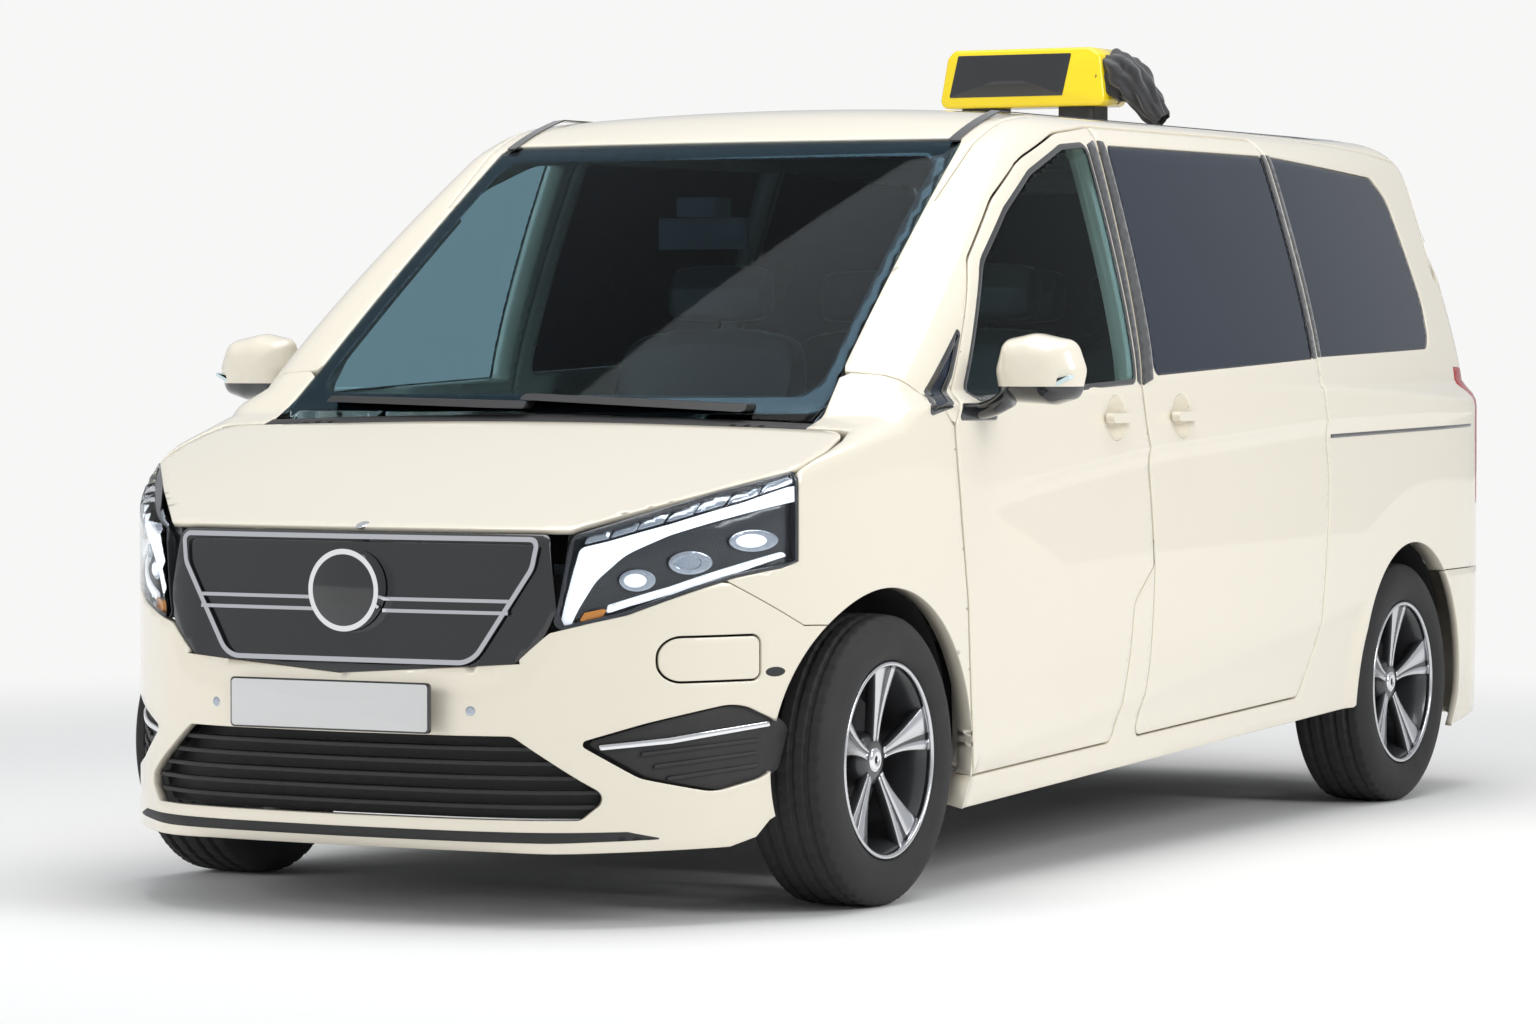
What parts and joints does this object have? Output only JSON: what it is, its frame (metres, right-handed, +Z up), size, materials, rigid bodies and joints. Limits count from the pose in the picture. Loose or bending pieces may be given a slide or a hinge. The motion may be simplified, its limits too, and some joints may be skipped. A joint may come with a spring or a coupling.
{
  "type": "taxi van",
  "caption": "Five-door people carrier with hinged front doors, hood and tailgate, steered front wheels, glazed hollow cabin and a blank yellow roof sign.",
  "frame": {"origin": "on the ground, midway along the body and on its centre line", "axes": "+Z up, +Y towards the tail (the length), +X towards the car's left side"},
  "size_m": [2.4066, 4.9078, 2.11],
  "materials": {
    "black_gloss": "gloss",
    "black_plastic": "matte",
    "body_paint": "gloss",
    "cabin_grey": "matte",
    "cast": "matte",
    "chrome": "gloss",
    "clear_glass": "gloss",
    "cover_cloth": "matte",
    "dark_glass": "gloss",
    "lamp_clear": "gloss",
    "lamp_red": "gloss",
    "plate": "satin",
    "rim": "machined",
    "seat_leather": "matte",
    "sign_yellow": "gloss",
    "steel": "satin",
    "tyre": "matte"
  },
  "bodies": {
    "car": {"underbody": "black_plastic", "battery_pack": "steel", "power_unit": "cabin_grey", "front_frame": "cast", "rear_suspension": "cast", "side_frames": "body_paint", "fenders": "body_paint", "front_bumper": "body_paint", "grille": "black_gloss", "side_intakes": "black_plastic", "headlamps": "lamp_clear", "windshield": "clear_glass", "roof": "body_paint", "sliding_doors": "body_paint", "side_windows": "dark_glass", "tail_lamps": "lamp_red", "rear_bumper": "body_paint", "dashboard": "cabin_grey", "front_seats": "seat_leather", "rear_seats": "seat_leather", "seat_bases": "cabin_grey", "rear_view_mirror": "black_plastic", "roof_sign": "sign_yellow", "sign_feet": "black_plastic", "front_plate": "plate", "cowl": "black_plastic", "wipers": "black_plastic", "grille_trim": "chrome", "lower_grille": "black_plastic", "slider_handles": "body_paint", "roof_strips": "black_plastic", "sign_cover": "cover_cloth"},
    "hood": {"hood": "body_paint"},
    "door_left": {"door_left": "body_paint", "door_glass_left": "clear_glass", "mirror_left": "body_paint", "door_handle_left": "body_paint"},
    "door_right": {"door_right": "body_paint", "door_glass_right": "clear_glass", "mirror_right": "body_paint", "door_handle_right": "body_paint"},
    "tailgate": {"tailgate": "body_paint", "tailgate_glass": "dark_glass", "rear_plate": "plate"},
    "charge_flap": {"charge_flap": "body_paint"},
    "steering_wheel": {"steering_wheel": "black_plastic"},
    "knuckle_left": {"knuckle_left": "cast"},
    "knuckle_right": {"knuckle_right": "cast"},
    "wheel_front_left": {"tyre_front_left": "tyre", "rim_front_left": "rim"},
    "wheel_front_right": {"tyre_front_right": "tyre", "rim_front_right": "rim"},
    "wheel_rear_left": {"tyre_rear_left": "tyre", "rim_rear_left": "rim"},
    "wheel_rear_right": {"tyre_rear_right": "tyre", "rim_rear_right": "rim"}
  },
  "joints": [
    {"name": "steer_left", "type": "hinge", "parent": "car", "child": "knuckle_left", "pos_m": [0.763, -1.5525, 0.335], "axis": [-0.2419, 0, 0.9703], "range_deg": [-34, 34]},
    {"name": "steer_right", "type": "hinge", "parent": "car", "child": "knuckle_right", "pos_m": [-0.763, -1.5525, 0.335], "axis": [0.2419, 0, 0.9703], "range_deg": [-34, 34]},
    {"name": "steering_wheel_turn", "type": "hinge", "parent": "car", "child": "steering_wheel", "pos_m": [0.39, -0.7175, 1.01], "axis": [0, -0.8829, -0.4695], "range_deg": [-510, 510]},
    {"name": "hood_hinge", "type": "hinge", "parent": "car", "child": "hood", "pos_m": [0, -1.6325, 1.115], "axis": [-1, 0, 0], "range_deg": [0, 50]},
    {"name": "door_left_hinge", "type": "hinge", "parent": "car", "child": "door_left", "pos_m": [0.966, -1.1805, 0.7], "axis": [0, 0.0958, -0.9954], "range_deg": [0, 68]},
    {"name": "door_right_hinge", "type": "hinge", "parent": "car", "child": "door_right", "pos_m": [-0.966, -1.1805, 0.7], "axis": [0, -0.0958, 0.9954], "range_deg": [0, 68]},
    {"name": "tailgate_hinge", "type": "hinge", "parent": "car", "child": "tailgate", "pos_m": [0, 2.2025, 1.836], "axis": [1, 0, 0], "range_deg": [0, 85]},
    {"name": "charge_flap_hinge", "type": "hinge", "parent": "car", "child": "charge_flap", "pos_m": [0.9, -1.9625, 0.59], "axis": [0, 0, 1], "range_deg": [0, 100]},
    {"name": "spin_front_left", "type": "hinge", "parent": "knuckle_left", "child": "wheel_front_left", "pos_m": [0.833, -1.5525, 0.335], "axis": [1, 0, 0], "continuous": true},
    {"name": "spin_front_right", "type": "hinge", "parent": "knuckle_right", "child": "wheel_front_right", "pos_m": [-0.833, -1.5525, 0.335], "axis": [1, 0, 0], "continuous": true},
    {"name": "spin_rear_left", "type": "hinge", "parent": "car", "child": "wheel_rear_left", "pos_m": [0.823, 1.6475, 0.335], "axis": [1, 0, 0], "continuous": true},
    {"name": "spin_rear_right", "type": "hinge", "parent": "car", "child": "wheel_rear_right", "pos_m": [-0.823, 1.6475, 0.335], "axis": [1, 0, 0], "continuous": true}
  ],
  "couplings": [
    {"joint": "steer_right", "follows": "steer_left", "ratio": 1},
    {"joint": "steering_wheel_turn", "follows": "steer_left", "ratio": -14}
  ]
}
